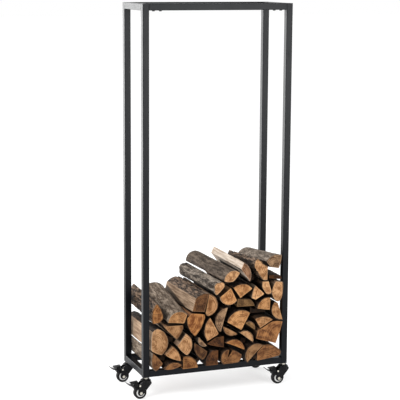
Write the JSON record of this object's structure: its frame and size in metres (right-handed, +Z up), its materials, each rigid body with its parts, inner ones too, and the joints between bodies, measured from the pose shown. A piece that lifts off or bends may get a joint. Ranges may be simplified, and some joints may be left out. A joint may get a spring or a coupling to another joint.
{
  "type": "firewood log rack",
  "caption": "Tall open firewood rack of square steel tube on braked swivel casters, holding a stack of split logs.",
  "frame": {"origin": "on the floor under the middle of the overall box, all four casters trailing towards -X", "axes": "+Z up, the open front that the logs are loaded from faces -Y, +X to the right seen from the front"},
  "size_m": [0.676, 0.327, 1.5],
  "materials": {
    "powder_coat": "satin black powder coat",
    "caster_steel": "glossy black coated pressing",
    "black_screws": "black oxide",
    "zinc": "zinc plated",
    "tyre": "matte",
    "hub_plastic": "moulded",
    "black_plastic": "moulded",
    "firewood": "split firewood with bark"
  },
  "bodies": {
    "rack": {"caster_stems": "zinc", "lock_nuts": "zinc", "log_birch": "firewood", "log_dark_bark": "firewood", "log_pale_split": "firewood", "log_rough_bark": "firewood", "log_round_grey": "firewood", "log_top_right": "firewood", "logs_bottom_left": "firewood", "logs_bottom_right": "firewood", "logs_fourth": "firewood", "logs_second_left": "firewood", "logs_second_middle": "firewood", "logs_second_right": "firewood", "logs_third_left": "firewood", "logs_third_middle": "firewood", "logs_third_right": "firewood", "logs_wedged": "firewood", "long_rail_bottom_back": "powder_coat", "long_rail_bottom_front": "powder_coat", "long_rail_top_back": "powder_coat", "long_rail_top_front": "powder_coat", "post_back_left": "powder_coat", "post_back_right": "powder_coat", "post_caps": "powder_coat", "post_front_left": "powder_coat", "post_front_right": "powder_coat", "post_plugs": "black_plastic", "rail_screws": "black_screws", "rail_stubs": "powder_coat", "side_rail_bottom_left": "powder_coat", "side_rail_bottom_right": "powder_coat", "side_rail_top_left": "powder_coat", "side_rail_top_right": "powder_coat", "swivel_balls": "zinc", "thrust_washers": "caster_steel"},
    "caster_front_left": {"fork_front_left": "caster_steel", "axle_front_left": "zinc", "pedal_pin_front_left": "zinc"},
    "wheel_front_left": {"tyre_front_left": "tyre", "hub_front_left": "hub_plastic"},
    "brake_front_left": {"pedal_front_left": "caster_steel"},
    "caster_front_right": {"fork_front_right": "caster_steel", "axle_front_right": "zinc", "pedal_pin_front_right": "zinc"},
    "wheel_front_right": {"tyre_front_right": "tyre", "hub_front_right": "hub_plastic"},
    "brake_front_right": {"pedal_front_right": "caster_steel"},
    "caster_back_left": {"fork_back_left": "caster_steel", "axle_back_left": "zinc", "pedal_pin_back_left": "zinc"},
    "wheel_back_left": {"tyre_back_left": "tyre", "hub_back_left": "hub_plastic"},
    "brake_back_left": {"pedal_back_left": "caster_steel"},
    "caster_back_right": {"fork_back_right": "caster_steel", "axle_back_right": "zinc", "pedal_pin_back_right": "zinc"},
    "wheel_back_right": {"tyre_back_right": "tyre", "hub_back_right": "hub_plastic"},
    "brake_back_right": {"pedal_back_right": "caster_steel"}
  },
  "joints": [
    {"name": "swivel_front_left", "type": "hinge", "parent": "rack", "child": "caster_front_left", "pos_m": [-0.258, -0.1125, 0.07], "axis": [0, 0, 1], "continuous": true},
    {"name": "wheel_spin_front_left", "type": "hinge", "parent": "caster_front_left", "child": "wheel_front_left", "pos_m": [-0.281, -0.1125, 0.025], "axis": [0, 1, 0], "continuous": true},
    {"name": "brake_pedal_front_left", "type": "hinge", "parent": "caster_front_left", "child": "brake_front_left", "pos_m": [-0.284, -0.1125, 0.0535], "axis": [0, -1, 0], "range_deg": [0, 12]},
    {"name": "swivel_front_right", "type": "hinge", "parent": "rack", "child": "caster_front_right", "pos_m": [0.317, -0.1125, 0.07], "axis": [0, 0, 1], "continuous": true},
    {"name": "wheel_spin_front_right", "type": "hinge", "parent": "caster_front_right", "child": "wheel_front_right", "pos_m": [0.294, -0.1125, 0.025], "axis": [0, 1, 0], "continuous": true},
    {"name": "brake_pedal_front_right", "type": "hinge", "parent": "caster_front_right", "child": "brake_front_right", "pos_m": [0.291, -0.1125, 0.0535], "axis": [0, -1, 0], "range_deg": [0, 12]},
    {"name": "swivel_back_left", "type": "hinge", "parent": "rack", "child": "caster_back_left", "pos_m": [-0.258, 0.1125, 0.07], "axis": [0, 0, 1], "continuous": true},
    {"name": "wheel_spin_back_left", "type": "hinge", "parent": "caster_back_left", "child": "wheel_back_left", "pos_m": [-0.281, 0.1125, 0.025], "axis": [0, 1, 0], "continuous": true},
    {"name": "brake_pedal_back_left", "type": "hinge", "parent": "caster_back_left", "child": "brake_back_left", "pos_m": [-0.284, 0.1125, 0.0535], "axis": [0, -1, 0], "range_deg": [0, 12]},
    {"name": "swivel_back_right", "type": "hinge", "parent": "rack", "child": "caster_back_right", "pos_m": [0.317, 0.1125, 0.07], "axis": [0, 0, 1], "continuous": true},
    {"name": "wheel_spin_back_right", "type": "hinge", "parent": "caster_back_right", "child": "wheel_back_right", "pos_m": [0.294, 0.1125, 0.025], "axis": [0, 1, 0], "continuous": true},
    {"name": "brake_pedal_back_right", "type": "hinge", "parent": "caster_back_right", "child": "brake_back_right", "pos_m": [0.291, 0.1125, 0.0535], "axis": [0, -1, 0], "range_deg": [0, 12]}
  ]
}
